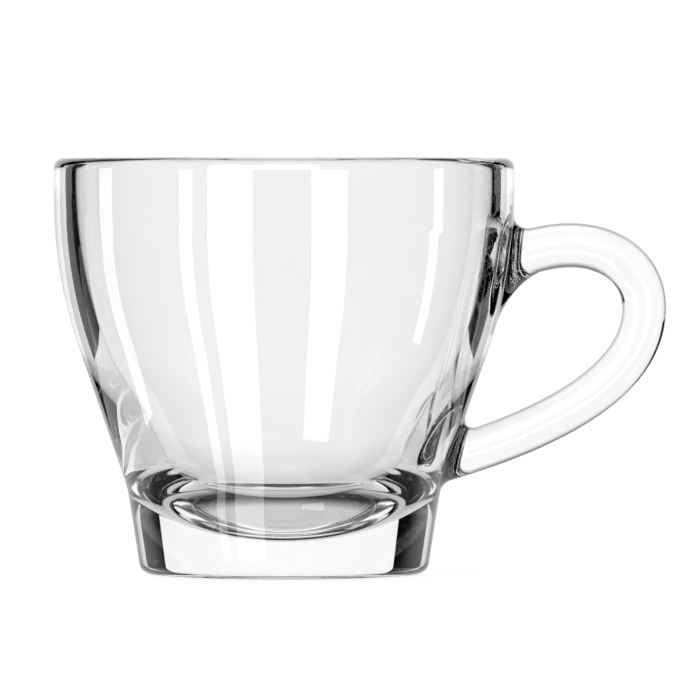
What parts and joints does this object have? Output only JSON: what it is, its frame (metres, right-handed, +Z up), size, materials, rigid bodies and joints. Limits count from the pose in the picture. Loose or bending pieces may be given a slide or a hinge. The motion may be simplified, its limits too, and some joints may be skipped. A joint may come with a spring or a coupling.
{
  "type": "cappuccino cup",
  "caption": "Clear glass cappuccino cup: a thick-walled round bowl with a fire-polished lip on a heavy tapered foot, with a loop handle fused to its side.",
  "frame": {"origin": "middle of the foot's flat underside, on the bowl's axis", "axes": "+Z up along the bowl's axis, +X towards the handle"},
  "size_m": [0.1078, 0.081, 0.073],
  "materials": {
    "bowl_glass": "clear, fire-polished",
    "foot_glass": "clear, fire-polished",
    "handle_glass": "clear, fire-polished"
  },
  "bodies": {
    "root": {"bowl": "bowl_glass", "foot": "foot_glass", "handle": "handle_glass"}
  },
  "joints": []
}
